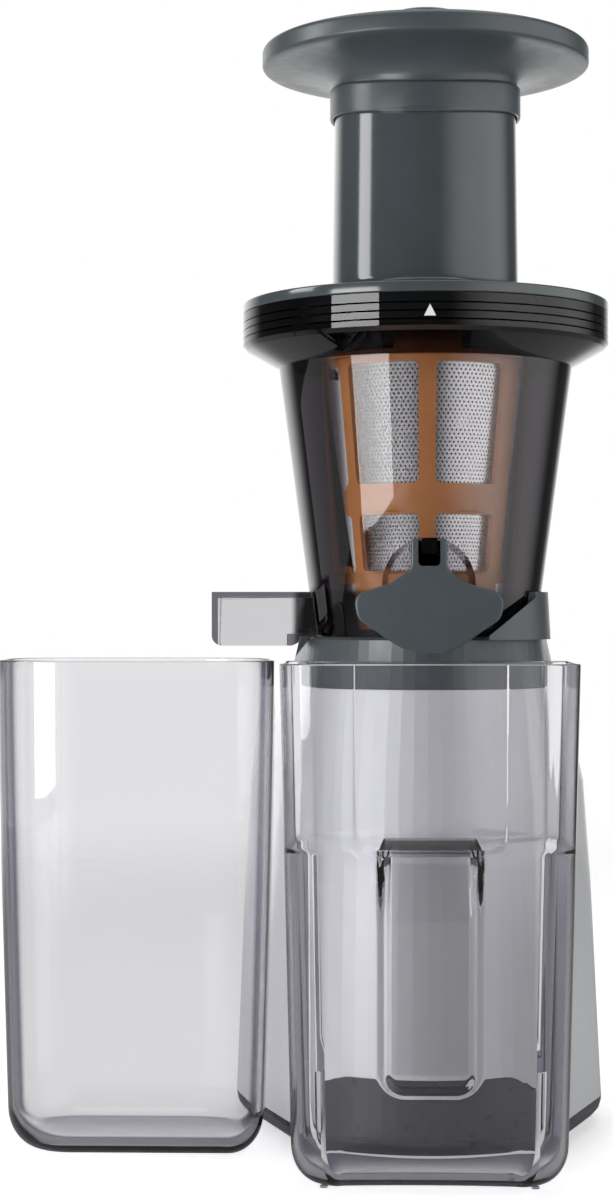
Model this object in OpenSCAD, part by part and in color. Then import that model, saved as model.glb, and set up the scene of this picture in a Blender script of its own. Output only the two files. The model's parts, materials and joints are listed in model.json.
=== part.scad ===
// Vertical slow juicer: motor base, lift-off bowl with strainer drum and scroll, lid with feed tube,
// pusher, hinged pulp cover, pulp container and juice jug.
// Millimetres, +Z up, front of the juicer towards -Y, jug on the -X side.
// The origin is on the floor, at the middle of the whole set's outline.

/* [Base] */
// Half width of the base at the floor
base_half_w = 73; // [71:1:75]
// Half width of the silver body where the collar starts
neck_half_w = 54; // [53:1:56]
// Height of the seam between silver body and collar
seam_z = 178; // [176:1:180]
// Height of the deck that the bowl stands on
deck_z = 197.5; // [196:0.5:198]
// Wall of the silver body
body_wall = 2.5; // [2:0.25:3]
// Height of the dark foot band
foot_band = 11; // [9:1:12]
// Width of the dark block at the foot of the front
block_w = 76; // [70:1:80]
// Height of the top of the dark block
block_top = 34; // [30:1:36]

/* [Bowl] */
// Radius of the bowl's rim
rim_r = 70.5; // [70:0.5:72]
// Height of the bowl's rim
rim_z = 321.3; // [321:0.1:322]
// Height of the rim band
rim_band = 12.8; // [12:0.2:14]
// Radius of the bowl wall just under the rim
bowl_top_r = 56.6; // [56:0.2:58]
// Radius of the bowl's foot
bowl_foot_r = 42.8; // [42:0.2:43]
// Wall of the bowl
bowl_wall = 2.6; // [2.2:0.2:3]

/* [Strainer drum] */
// Radius of the drum under its flange
drum_top_r = 36.5; // [36:0.1:36.8]
// Radius of the drum at the foot of its windows
drum_low_r = 27; // [26.6:0.1:27.2]
// Radius of the drum's flange
drum_flange_r = 40.7; // [40:0.1:41]
// Windows round the drum
drum_windows = 6; // [4:1:8]
// Wall of the drum frame
drum_wall = 2.4; // [2:0.1:2.6]

/* [Lid and pusher] */
// Outer radius of the feed tube at its top
tube_r = 35; // [34.5:0.1:35.2]
// Height of the feed tube's top
tube_top = 401; // [398:1:403]
// Radius of the pusher's disc
disc_r = 63; // [60:1:64]
// Height of the whole juicer
total_h = 438; // [436:1:440]

/* [Containers] */
// Half width of the pulp container's rim
pulp_half_w = 53.8; // [52:0.2:54]
// Height of both containers
pot_h = 188.5; // [185:0.5:189]
// Front of the pulp container's rim, as a distance from the bowl axis
pulp_front = 85; // [83:1:87]
// Left end of the jug's rim, as a distance from the bowl axis
jug_left = 166; // [162:1:168]
// Right side of the jug's rim, as a distance from the bowl axis
jug_right = 58; // [58:0.5:60]
// Wall of both containers
pot_wall = 2.4; // [2.2:0.1:2.8]

/* [Gear train] */
// Gear module
gear_m = 1; // [1:1:1]
// Teeth on the motor pinion
motor_teeth = 11; // [11:1:11]
// Teeth on the idler's large gear
idler_teeth = 43; // [43:1:43]
// Teeth on the idler's small pinion
step_teeth = 11; // [11:1:11]
// Teeth on the output gear
output_teeth = 47; // [47:1:47]

/* [Hidden] */
$fn = 96;
eps = 0.01;
hull_fn = 32;

// colours
slate = [0.28, 0.31, 0.32];
charcoal = [0.2, 0.22, 0.23];
silver = [0.78, 0.79, 0.8];
smoke = [0.2, 0.19, 0.24, 0.5];
tint = [0.8, 0.78, 0.84, 0.4];
amber = [0.82, 0.5, 0.22];
steel = [0.72, 0.72, 0.74];
cast = [0.6, 0.61, 0.62];
rubber = [0.12, 0.12, 0.12];
silicone = [0.7, 0.7, 0.72];
copper = [0.7, 0.42, 0.25];
nylon = [0.9, 0.89, 0.84];

// where the bowl axis stands in the finished part
gland_back = 97;
gland_x = -28;
gland_z = 22;
home_x = (jug_left - base_half_w) / 2;
home_y = (pulp_front - gland_back) / 2;

// heights inside the base
foot_h = 3;
tray_floor = 4;
can_low = 42;
can_top = 124;
case_floor = 4;
case_top = 168;
cover_top = 172;
band_gap = 0.3;

// rocker switch in the back wall
switch_z = 27;
bezel_w = 20;
bezel_h = 26;
bezel_back = 88;
rocker_y = 91;

// motor and gear positions along Y, counted from the bowl axis
idler_y = gear_m * (step_teeth + output_teeth) / 2;
motor_y = idler_y + gear_m * (motor_teeth + idler_teeth) / 2;
can_r = 30;

// bowl
bowl_base = deck_z + 0.3;
bowl_floor = bowl_base + bowl_wall;
band_low = rim_z - rim_band;
neck_z = 301;
port_z = 211;
port_r = 9;
boss_r = 17;
boss_z = 217;
boss_face = -56;
duct_end = -28.8;
spout_end = -82;
spout_half = 12;
spout_low = 194;
spout_top = 214.6;
spout_floor = 198.6;

// drum
drum_low_z = 211;
drum_top_z = 303;
drum_foot = bowl_floor + 0.05;
flange_h = 4;
mesh_t = 0.6;
mesh_gap = 0.05;

// spindle
spindle_r = 4.97;
hex_af = 9;
hex_low = 209;
hex_top = 224;

function lerp(a, b, t) = a + (b - a) * t;
function drum_r(z) = lerp(drum_low_r, drum_top_r, (z - drum_low_z) / (drum_top_z - drum_low_z));
function bowl_r(z) = lerp(bowl_foot_r, bowl_top_r, (z - bowl_base) / (neck_z - bowl_base));

// everything is drawn about the bowl axis and moved to the part's origin here
module placed() {
    translate([home_x, home_y, 0]) children();
}

// ---- base outline: a round front and two wider back corners, all driven by the half width ----
function flare(w) = (w - neck_half_w) / (base_half_w - neck_half_w);

module outline_discs(w, z, inset) {
    t = flare(w);
    translate([0, 8 + 8 * t, z]) cylinder(r = 48 + 10 * t - inset, h = eps, $fn = 2 * hull_fn);
    for (side = [-1, 1]) {
        translate([side * (w - 36 - 6 * t), 42 + 10 * t, z])
            cylinder(r = 36 + 6 * t - inset, h = eps, $fn = 2 * hull_fn);
    }
}

// half width of the body at each height, from the foot band up to the seam
body_levels = [[foot_band, base_half_w], [100, 68.4], [139, 65.4], [160, 60.4], [seam_z, neck_half_w]];

module body_solid(inset, past) {
    hull() {
        for (level = body_levels) outline_discs(level[1], level[0], inset);
        outline_discs(base_half_w, foot_band - past, inset);
        outline_discs(neck_half_w, seam_z + past, inset);
    }
}

module front_arch(grow, low) {
    half = block_w / 2 + grow;
    top = block_top + grow;
    corner = 10;
    rotate([90, 0, 0]) linear_extrude(60) union() {
        translate([-half, low]) square([2 * half, top - corner - low]);
        translate([-half + corner, low]) square([2 * (half - corner), top - low]);
        for (side = [-1, 1]) translate([side * (half - corner), top - corner]) circle(corner);
    }
}

post_spots = [[-55, 26], [55, 26], [-62, 50], [62, 50]];

module body_shell() {
    color(silver) placed() union() {
        difference() {
            body_solid(0, 0);
            body_solid(body_wall, 2);
            front_arch(0, foot_band - 1);
            translate([-bezel_w / 2 - 0.2, 70, switch_z - bezel_h / 2 - 0.2])
                cube([bezel_w + 0.4, 40, bezel_h + 0.4]);
            translate([gland_x, 70, gland_z]) rotate([-90, 0, 0]) cylinder(r = 6.05, h = 40);
        }
        for (spot = post_spots) screw_post(spot);
    }
}

module screw_post(spot) {
    reach = 8;
    translate([spot[0], spot[1], foot_band + 0.2]) difference() {
        union() {
            cylinder(r = 5, h = 22);
            translate([spot[0] > 0 ? 0 : -reach, -1.5, 0]) cube([reach, 3, 22]);
        }
        translate([0, 0, -1]) cylinder(r = 1.5, h = 20);
    }
}

module front_block() {
    color(charcoal) placed() difference() {
        intersection() {
            body_solid(0.2, 1);
            front_arch(-0.3, foot_band);
        }
        body_solid(body_wall + 0.4, 2);
    }
}

foot_spots = [[-36, 2], [36, 2], [-46, 66], [46, 66]];

module bottom_tray() {
    wall = 2.5;
    color(charcoal) placed() difference() {
        hull() {
            outline_discs(base_half_w, foot_h - 0.8, 7);
            outline_discs(base_half_w, foot_h + 0.6, 3);
            outline_discs(base_half_w, foot_h + 3.2, 0.8);
            outline_discs(base_half_w, foot_h + 6, 0);
            outline_discs(base_half_w, foot_band - 0.2, 0);
        }
        hull() {
            outline_discs(base_half_w, foot_h + tray_floor, 9);
            outline_discs(base_half_w, foot_band, wall);
        }
        for (spot = foot_spots) translate([spot[0], spot[1], 0]) cylinder(r = 9.05, h = foot_h + 1);
        for (spot = post_spots) translate([spot[0], spot[1], 0]) {
            cylinder(r = 3.6, h = 5.25);
            cylinder(r = 1.8, h = 30);
        }
        for (row = [-2:2], col = [-1, 1]) {
            translate([col * 16 - 11, 52 + row * 7, 0]) cube([22, 2.6, 20]);
        }
    }
}

module rubber_feet() {
    color(rubber) placed() for (spot = foot_spots) translate([spot[0], spot[1], 0]) {
        cylinder(r1 = 8, r2 = 9, h = 1);
        translate([0, 0, 1 - eps]) cylinder(r = 9, h = foot_h + eps);
    }
}

module case_screws() {
    color(steel) placed() for (spot = post_spots) translate([spot[0], spot[1], 0]) {
        translate([0, 0, 3.4]) cylinder(r = 3, h = 1.8 + eps);
        translate([0, 0, 5.2]) cylinder(r = 1.45, h = 22);
    }
}

// ---- collar: deck under the bowl, pillars for the gearbox, and the cradle round the bowl's foot ----
pillar_spots = [[-33, 8], [33, 8], [-30, 50], [30, 50]];
recess_r = 31.5;
spigot_r = 31;
cradle_h = 17;

module cradle() {
    low = deck_z - 1;
    foot = bowl_r(low) + 0.6;
    lean = bowl_r(low + cradle_h) + 0.5;
    rotate([0, 0, -62]) rotate_extrude(angle = 208) polygon([
        [foot, low], [foot + 5.2, low], [lean + 2, low + cradle_h + 1], [lean, low + cradle_h + 1]
    ]);
}

module top_collar() {
    color(slate) placed() difference() {
        union() {
            difference() {
                hull() {
                    outline_discs(neck_half_w, seam_z + 0.2, 0);
                    outline_discs(neck_half_w - 2.6, seam_z + 11, 0);
                    outline_discs(neck_half_w - 4.2, deck_z - 1.2, 0);
                    outline_discs(neck_half_w - 4.8, deck_z - eps, 0.8);
                }
                hull() {
                    outline_discs(neck_half_w, seam_z, body_wall + 0.3);
                    outline_discs(neck_half_w - 3.5, deck_z - 8, body_wall + 0.3);
                }
                translate([-neck_half_w - 13, -50, deck_z + 4]) rotate([0, 42, 0]) cube([20, 90, 40]);
            }
            for (spot = pillar_spots) translate([spot[0], spot[1], cover_top]) cylinder(r = 4.5, h = 18);
            cradle();
        }
        translate([0, 0, deck_z - 4]) cylinder(r = recess_r, h = 10);
        translate([0, 0, seam_z]) cylinder(r = 13, h = 30);
        for (spot = pillar_spots) translate([spot[0], spot[1], cover_top - 1]) cylinder(r = 1.5, h = 14);
        // the cradle is cut down towards the front, beside the pulp cover, but not below the deck
        difference() {
            translate([22, -60, deck_z]) rotate([0, -38, 0]) translate([-30, 0, 0]) cube([60, 36, 60]);
            translate([-60, -61, seam_z - 10]) cube([120, 38, deck_z - seam_z + 10]);
        }
    }
}

// ---- gearbox ----
module gearbox_plan(r_out, r_back) {
    hull() {
        circle(r_out, $fn = 2 * hull_fn);
        translate([0, motor_y - 8]) circle(r_back, $fn = 2 * hull_fn);
    }
}

module ears(z, h) {
    for (spot = pillar_spots) translate([spot[0], spot[1], z]) {
        cylinder(r = 6, h = h);
        translate([spot[0] > 0 ? -10 : 0, -4, 0]) cube([10, 8, h]);
    }
}

module ear_holes(z, h) {
    for (spot = pillar_spots) translate([spot[0], spot[1], z]) cylinder(r = 1.7, h = h);
}

module gearbox_case() {
    color(cast) placed() difference() {
        union() {
            translate([0, 0, can_top]) linear_extrude(case_top - can_top) gearbox_plan(29, 24);
            difference() {
                ears(case_top - 8, 8);
                translate([0, 0, case_top - 9]) linear_extrude(10) gearbox_plan(28, 23);
            }
        }
        translate([0, 0, can_top + case_floor]) linear_extrude(60) gearbox_plan(26.2, 21);
        translate([0, 0, can_top - 1]) cylinder(r = 8, h = 10);
        translate([0, idler_y, can_top - 1]) cylinder(r = 4, h = 10);
        translate([0, motor_y, can_top - 1]) cylinder(r = 8, h = 10);
        ear_holes(case_top - 9, 20);
    }
}

module gearbox_cover() {
    color(cast) placed() difference() {
        union() {
            translate([0, 0, case_top]) linear_extrude(cover_top - case_top) gearbox_plan(29, 24);
            ears(case_top, cover_top - case_top);
            translate([0, 0, cover_top - eps]) cylinder(r = 12.6, h = 9);
        }
        translate([0, 0, case_top + 2]) cylinder(r = 10, h = 20);
        translate([0, 0, case_top - 1]) cylinder(r = 7, h = 20);
        translate([0, idler_y, case_top - 1]) cylinder(r = 4, h = 3);
        ear_holes(case_top - 1, 20);
    }
}

module gearbox_screws() {
    color(steel) placed() for (spot = pillar_spots) translate([spot[0], spot[1], case_top - 8]) {
        translate([0, 0, -2.4]) cylinder(r = 3, h = 2.4);
        translate([0, 0, -eps]) cylinder(r = 1.45, h = 22);
    }
}

module ring(r_in, r_out, z, h) {
    translate([0, 0, z]) difference() {
        cylinder(r = r_out, h = h);
        translate([0, 0, -1]) cylinder(r = r_in, h = h + 2);
    }
}

module output_bearing() {
    color(steel) placed() ring(5.02, 10, case_top + 2, 9);
}

module spindle_bush() {
    color(nylon) placed() ring(5.02, 8, can_top, 6);
}

module idler_pin() {
    color(steel) placed() translate([0, idler_y, can_top]) cylinder(r = 3.97, h = case_top + 2 - can_top);
}

// ---- motor ----
module motor_can() {
    color(steel) placed() translate([0, motor_y, 0]) difference() {
        ring(28, can_r, can_low, can_top - can_low);
        for (turn = [0:45:315]) rotate([0, 0, turn + 22.5]) translate([20, -3, can_top - 16]) cube([20, 6, 9]);
    }
}

module motor_end_cap() {
    color(cast) placed() translate([0, motor_y, 0]) difference() {
        union() {
            translate([0, 0, can_low - 5]) cylinder(r = can_r, h = 5);
            translate([0, 0, can_low - 10]) cylinder(r = 7.5, h = 6);
            for (turn = [45:90:315]) rotate([0, 0, turn])
                translate([22, 0, foot_h + tray_floor]) cylinder(r = 3.5, h = can_low - foot_h - tray_floor - 4);
        }
        translate([0, 0, can_low - 7]) cylinder(r = 6, h = 20);
        translate([0, 0, can_low - 30]) cylinder(r = 3.6, h = 60);
    }
}

module stator_core() {
    color(cast) placed() translate([0, motor_y, 0]) ring(17.5, 28, 58, 42);
}

module field_coils() {
    color(copper) placed() translate([0, motor_y, 0]) {
        ring(18.5, 26.5, 49, 9);
        ring(18.5, 26.5, 100, 7);
    }
}

module motor_bearing_top() {
    color(steel) placed() translate([0, motor_y, 0]) ring(3.02, 8, can_top - 1, 6);
}

module motor_bearing_bottom() {
    color(steel) placed() translate([0, motor_y, 0]) ring(3.02, 6, can_low - 7, 7);
}

module rotor_shaft() {
    color(steel) placed() translate([0, motor_y, can_low - 9]) cylinder(r = 2.97, h = 111);
}

module rotor_core() {
    color(cast) placed() translate([0, motor_y, 0]) ring(2.97, 17, 56, 46);
}

module cooling_fan() {
    color(nylon) placed() translate([0, motor_y, 0]) {
        ring(2.97, 7, 109, 9);
        ring(2.97, 25, 108, 1.5);
        for (turn = [0:30:330]) rotate([0, 0, turn]) translate([6.5, -0.7, 109]) cube([17.5, 1.4, 9]);
    }
}

// ---- involute gears ----
press_angle = 25;
addendum = 0.85;
dedendum = 1.15;
backlash = 0.07;

function involute(angle) = tan(angle) * 180 / PI - angle;
function swing(r, base_r) = r > base_r ? involute(acos(base_r / r)) : 0;

function tooth_points(teeth, center) =
    let (pitch_r = gear_m * teeth / 2)
    let (base_r = pitch_r * cos(press_angle))
    let (root_r = pitch_r - dedendum * gear_m)
    let (tip_r = pitch_r + addendum * gear_m)
    let (half = 90 / teeth - backlash / pitch_r * 180 / PI + involute(press_angle))
    let (radii = [for (i = [0:4]) lerp(root_r, tip_r, i / 4)])
    concat(
        [for (r = radii) let (a = center - half + swing(r, base_r)) r * [cos(a), sin(a)]],
        [for (i = [4:-1:0]) let (r = radii[i], a = center + half - swing(r, base_r)) r * [cos(a), sin(a)]]
    );

module gear_plan(teeth) {
    polygon([for (k = [0:teeth - 1]) each tooth_points(teeth, k * 360 / teeth)]);
}

module gear(teeth, z, h, phase) {
    translate([0, 0, z]) rotate([0, 0, phase]) linear_extrude(h) gear_plan(teeth);
}

module motor_pinion() {
    color(steel) placed() translate([0, motor_y, 0]) difference() {
        gear(motor_teeth, 131, 10, -90);
        translate([0, 0, 120]) cylinder(r = 2.97, h = 30);
    }
}

module idler_gear() {
    color(nylon) placed() translate([0, idler_y, 0]) difference() {
        union() {
            gear(idler_teeth, 132, 8, 90 + 180 / idler_teeth);
            gear(step_teeth, 139.9, 24, -90);
            translate([0, 0, 130.5]) cylinder(r = 7, h = 2);
        }
        translate([0, 0, 120]) cylinder(r = 4.02, h = 60);
    }
}

module output_gear() {
    color(steel) placed() difference() {
        union() {
            gear(output_teeth, 146, 12, 90 + 180 / output_teeth);
            translate([0, 0, 141.5]) cylinder(r = 5.9, h = 5);
            translate([0, 0, 157.9]) cylinder(r = 9, h = 6);
        }
        translate([0, 0, 120]) cylinder(r = spindle_r, h = 60);
    }
}

module drive_spindle() {
    color(steel) placed() {
        translate([0, 0, can_top + 0.5]) cylinder(r = spindle_r, h = hex_low - can_top - 0.5);
        translate([0, 0, hex_low - 0.1]) cylinder(d = hex_af / cos(30), h = hex_top - hex_low, $fn = 6);
    }
}

// ---- electrics ----
module control_board() {
    color([0.15, 0.4, 0.25]) placed() translate([46, 34, foot_h + tray_floor]) {
        cube([1.6, 34, 44]);
        translate([-9, 5, 26]) cube([9 + eps, 10, 12]);
        translate([-6, 20, 24]) cube([6 + eps, 8, 8]);
        translate([-12, 6, 6]) cube([12 + eps, 14, 13]);
    }
}

module switch_module() {
    color(charcoal) placed() translate([-7, bezel_back - 5, switch_z - 9.6]) cube([14, 5.2, 19.2]);
}

module switch_bezel() {
    color(charcoal) placed() difference() {
        translate([-bezel_w / 2, bezel_back, switch_z - bezel_h / 2]) cube([bezel_w, 7, bezel_h]);
        translate([-7.1, bezel_back - 1, switch_z - 9.8]) cube([14.2, 20, 19.6]);
        translate([-bezel_w, rocker_y, switch_z]) rotate([0, 90, 0]) cylinder(r = 1.3, h = 2 * bezel_w);
    }
}

module rocker_pin() {
    color(steel) placed() translate([-bezel_w / 2 + 0.4, rocker_y, switch_z]) rotate([0, 90, 0])
        cylinder(r = 1.3, h = bezel_w - 0.8);
}

module switch_rocker() {
    color(rubber) placed() translate([-6.9, rocker_y, switch_z]) rotate([90, 0, 90]) difference() {
        linear_extrude(13.8) polygon([[0.6, -9.2], [4.8, -9.2], [3.2, 0], [4.8, 9.2], [0.6, 9.2], [-2.2, 0]]);
        translate([0, 0, -1]) cylinder(r = 1.35, h = 16);
    }
}

module cord_gland() {
    color(rubber) placed() translate([gland_x, gland_back, gland_z]) rotate([90, 0, 0]) difference() {
        union() {
            cylinder(r = 9, h = 3);
            cylinder(r = 6, h = 12);
        }
        translate([0, 0, -1]) cylinder(r = 3.6, h = 20);
    }
}

// ---- bowl ----
module bowl_profile() {
    inner_top = bowl_top_r - bowl_wall;
    polygon([
        [7.6, bowl_base], [spigot_r - 3, bowl_base], [spigot_r - 3, bowl_base - 3.6], [spigot_r, bowl_base - 3.6],
        [spigot_r, bowl_base], [bowl_foot_r, bowl_base], [bowl_top_r, neck_z], [rim_r - 1.5, band_low - 0.6],
        [rim_r, band_low + 1], [rim_r, band_low + 3], [rim_r - 0.5, band_low + 3.3], [rim_r, band_low + 3.6],
        [rim_r, band_low + 6], [rim_r - 0.5, band_low + 6.3], [rim_r, band_low + 6.6],
        [rim_r, band_low + 9], [rim_r - 0.5, band_low + 9.3], [rim_r, band_low + 9.6],
        [rim_r, rim_z], [rim_r - 2.6, rim_z], [rim_r - 2.6, band_low + 2.2], [inner_top, neck_z + 1],
        [bowl_foot_r - bowl_wall + 0.4, bowl_floor], [12, bowl_floor], [12, bowl_floor + 8], [7.6, bowl_floor + 8]
    ]);
}

module along_front(r, from_y, to_y, z) {
    translate([0, from_y, z]) rotate([90, 0, 0]) cylinder(r = r, h = from_y - to_y);
}

module bowl_shell() {
    color(smoke) placed() difference() {
        union() {
            rotate_extrude() bowl_profile();
            difference() {
                union() {
                    difference() {
                        along_front(boss_r, -30, boss_face, boss_z);
                        along_front(boss_r - 2, -20, boss_face + 2.4, boss_z);
                    }
                    along_front(port_r + 2, duct_end, boss_face, port_z);
                }
                // inside the bowl only the pulp duct goes on, and nothing goes below the deck
                translate([0, 0, bowl_floor]) cylinder(r1 = bowl_r(bowl_floor) - 1, r2 = bowl_r(neck_z) - 1, h = neck_z - bowl_floor);
            }
            intersection() {
                along_front(port_r + 2, duct_end, -45, port_z);
                translate([-20, -60, bowl_floor - 1]) cube([40, 60, 60]);
            }
        }
        along_front(port_r, 0, boss_face - 10, port_z);
        translate([-60, -spout_half + 2.4, bowl_floor]) cube([40, 2 * spout_half - 4.8, 11]);
    }
}

module juice_spout() {
    width = 2 * spout_half;
    wall = 2.4;
    color(smoke) placed() difference() {
        union() {
            translate([spout_end, -spout_half, spout_floor - 1]) cube([60, width, spout_top - spout_floor + 1]);
            translate([spout_end + 4, -spout_half, spout_low]) cube([26, width, 8]);
            translate([spout_end + 4, spout_half, spout_low + 4]) rotate([90, 0, 0]) cylinder(r = 4, h = width);
            translate([spout_end + 30, spout_half, spout_low + 4]) rotate([90, 0, 0]) cylinder(r = 4, h = width);
        }
        translate([spout_end + wall, -spout_half + wall, spout_floor]) cube([60, width - 2 * wall, 13.6]);
        translate([spout_end + wall, -spout_half + wall, spout_low - 1]) cube([26.4, width - 2 * wall, 12]);
        translate([0, 0, bowl_base]) cylinder(r1 = bowl_foot_r, r2 = bowl_top_r, h = neck_z - bowl_base);
        translate([0, 0, 180]) cylinder(r = bowl_foot_r + 0.5, h = bowl_base - 180);
    }
}

pivot_z = 231;
pivot_y = -58.6;
post_front = -62;

module hinge_post() {
    color(smoke) placed() difference() {
        translate([-2.9, post_front, pivot_z - 3]) cube([5.8, boss_face - post_front, 5.6]);
        translate([-10, pivot_y, pivot_z]) rotate([0, 90, 0]) cylinder(r = 1.25, h = 20);
    }
}

module hinge_pin() {
    color(steel) placed() translate([-6.3, pivot_y, pivot_z]) rotate([0, 90, 0]) cylinder(r = 1.2, h = 12.6);
}

module spindle_seal() {
    color(silicone) placed() ring(5.4, 7.6, bowl_base + 1, 9);
}

module rim_mark() {
    color("white") placed() translate([0, -rim_r, band_low + 4.2]) rotate([90, 0, 0])
        linear_extrude(0.5) polygon([[-2.1, 0], [2.1, 0], [0, 4.2]]);
}

// ---- strainer drum ----
window_low = [222.4, 255.4];
window_high = [243.8, 300.6];
window_turn = 360 / drum_windows;

module drum_wall_shape() {
    outer_low = drum_r(drum_foot);
    rotate_extrude() polygon([
        [outer_low, drum_foot], [drum_r(drum_top_z), drum_top_z], [drum_flange_r, drum_top_z],
        [drum_flange_r, drum_top_z + flange_h], [drum_r(drum_top_z) - drum_wall, drum_top_z + flange_h],
        [drum_r(drum_top_z) - drum_wall, drum_top_z], [drum_r(drum_foot + 1.8) - drum_wall, drum_foot + 1.8],
        [13, drum_foot + 1.8], [13, drum_foot]
    ]);
}

module drum_shape() {
    difference() {
        drum_wall_shape();
        for (k = [0:drum_windows - 1], row = [0, 1]) rotate([0, 0, -90 + (k + 0.5) * window_turn - 24.5])
            rotate_extrude(angle = 49) translate([18, window_low[row]])
                square([22, window_high[row] - window_low[row]]);
        along_front(port_r + 0.2, -10, -40, port_z);
    }
    for (side = [0, 180]) rotate([0, 0, side]) guide_rib();
    // upstand that shows which way round the drum goes in
    rotate([0, 0, -108]) rotate_extrude(angle = 36) polygon([
        [drum_flange_r - 3, drum_top_z + flange_h - eps], [drum_flange_r, drum_top_z + flange_h - eps],
        [drum_flange_r, drum_top_z + 10.5], [drum_flange_r - 2, drum_top_z + 10.5]
    ]);
}

// the drum is moulded in two parts, which are welded together just above the pulp outlet
drum_seam = 221.5;

module drum_frame() {
    color(amber) placed() intersection() {
        drum_shape();
        translate([-50, -50, drum_seam]) cube(100);
    }
}

module drum_cup() {
    color(amber) placed() intersection() {
        drum_shape();
        translate([-50, -50, drum_seam - 100]) cube(100);
    }
}

// a guide bar beside the drum, hung from the flange and joined to the drum again at its foot
module guide_rib() {
    low = 218;
    bar = 2.6;
    rotate([90, 0, 0]) translate([0, 0, -1.3]) linear_extrude(2.6) difference() {
        polygon([
            [drum_r(drum_top_z) - 1, drum_top_z + 0.5], [drum_flange_r - 0.2, drum_top_z + 0.5],
            [drum_r(low) + 6.4, low], [drum_r(low) - 1, low]
        ]);
        polygon([
            [drum_r(drum_top_z) - 2, drum_top_z], [drum_flange_r - bar, drum_top_z],
            [drum_r(low + 6) + 4.4, low + 6], [drum_r(low + 6) - 2, low + 6]
        ]);
    }
}

module strainer_mesh() {
    low = window_low[0] - 2;
    high = window_high[1] + 1;
    gap = drum_wall + mesh_gap;
    color(steel) placed() rotate_extrude() polygon([
        [drum_r(low) - gap, low], [drum_r(high) - gap, high], [drum_r(high) - gap - mesh_t, high],
        [drum_r(low) - gap - mesh_t, low]
    ]);
}

// ---- scroll ----
flight_low = 214;
flight_high = 292;
flight_turns = 2.6;
flight_steps = 62;

function flight_ring(t) =
    let (z = lerp(flight_low, flight_high, t), a = 360 * flight_turns * t)
    let (outer = drum_r(z) - drum_wall - mesh_gap - mesh_t - 0.8)
    let (inner = lerp(15, 9, t))
    [
        [inner * cos(a), inner * sin(a), z - 2.4], [outer * cos(a), outer * sin(a), z - 1],
        [outer * cos(a), outer * sin(a), z + 1], [inner * cos(a), inner * sin(a), z + 2.4]
    ];

module flight() {
    last = flight_steps * 4;
    points = [for (i = [0:flight_steps]) each flight_ring(i / flight_steps)];
    sides = [for (i = [0:flight_steps - 1], j = [0:3])
        each [[4 * i + j, 4 * i + (j + 1) % 4, 4 * i + 4 + j],
              [4 * i + (j + 1) % 4, 4 * i + 4 + (j + 1) % 4, 4 * i + 4 + j]]];
    polyhedron(points, concat([[0, 3, 2, 1]], sides, [[last, last + 1, last + 2, last + 3]]));
}

module scroll() {
    color([0.16, 0.15, 0.17]) placed() difference() {
        union() {
            rotate_extrude() polygon([
                [0, bowl_floor + 9], [20, bowl_floor + 9], [20.4, bowl_floor + 12], [17.5, 226], [11.5, 284],
                [9, 296], [6, 301], [0, 303]
            ]);
            flight();
        }
        translate([0, 0, 200]) cylinder(r = 8, h = 28);
    }
}

module drive_insert() {
    color(steel) placed() difference() {
        translate([0, 0, bowl_floor + 9]) cylinder(r = 8, h = 228 - bowl_floor - 9);
        translate([0, 0, 200]) cylinder(d = (hex_af + 0.3) / cos(30), h = hex_top + 0.5 - 200, $fn = 6);
        translate([0, 0, 200]) cylinder(r = spindle_r + 0.5, h = hex_low + 0.5 - 200);
    }
}

// ---- pulp cover ----
wing_x = 19.6;
wing_z = 209;
wing_r = 7;

module cover_plan() {
    difference() {
        union() {
            hull() {
                for (side = [-1, 1]) translate([side * wing_x, wing_z]) circle(wing_r, $fn = hull_fn);
                translate([0, 200.4]) circle(8.4, $fn = hull_fn);
                translate([0, 214]) circle(7.5, $fn = hull_fn);
            }
            hull() {
                for (side = [-1, 1]) translate([side * 5.4, pivot_z - 2]) circle(1, $fn = hull_fn);
                for (side = [-1, 1]) translate([side * 5.6, 222]) circle(1, $fn = hull_fn);
                translate([-10, 214]) square([20, 1]);
            }
        }
        translate([-3.1, 224.4]) square([6.2, 20]);
    }
}

module pulp_cover() {
    color(slate) placed() difference() {
        union() {
            translate([0, boss_face - 1.4, 0]) rotate([90, 0, 0]) linear_extrude(3.4) cover_plan();
            for (side = [-1, 1]) translate([side * 4.7 - 1.5, pivot_y, pivot_z]) rotate([0, 90, 0])
                cylinder(r = 2.4, h = 3);
        }
        translate([-10, pivot_y, pivot_z]) rotate([0, 90, 0]) cylinder(r = 1.25, h = 20);
    }
}

module cover_seal() {
    color(silicone) placed() union() {
        along_front(12, boss_face - 0.02, boss_face - 1.4, port_z);
        along_front(port_r - 1.2, boss_face + 3, boss_face - 1, port_z);
    }
}

// ---- lid and pusher ----
module lid() {
    under = rim_z + band_gap;
    color(slate) placed() rotate_extrude() polygon([
        [33, 309.5], [35.2, 309.5], [35.2, under], [65.2, under], [65.2, 312.5], [67.4, 312.5], [67.4, under],
        [rim_r, under], [rim_r, under + 3.4], [rim_r - 0.8, under + 4.1], [tube_r + 9, under + 6],
        [tube_r + 3.2, under + 7.6], [tube_r + 1, under + 11], [tube_r, tube_top], [tube_r - 2.4, tube_top]
    ]);
}

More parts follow.
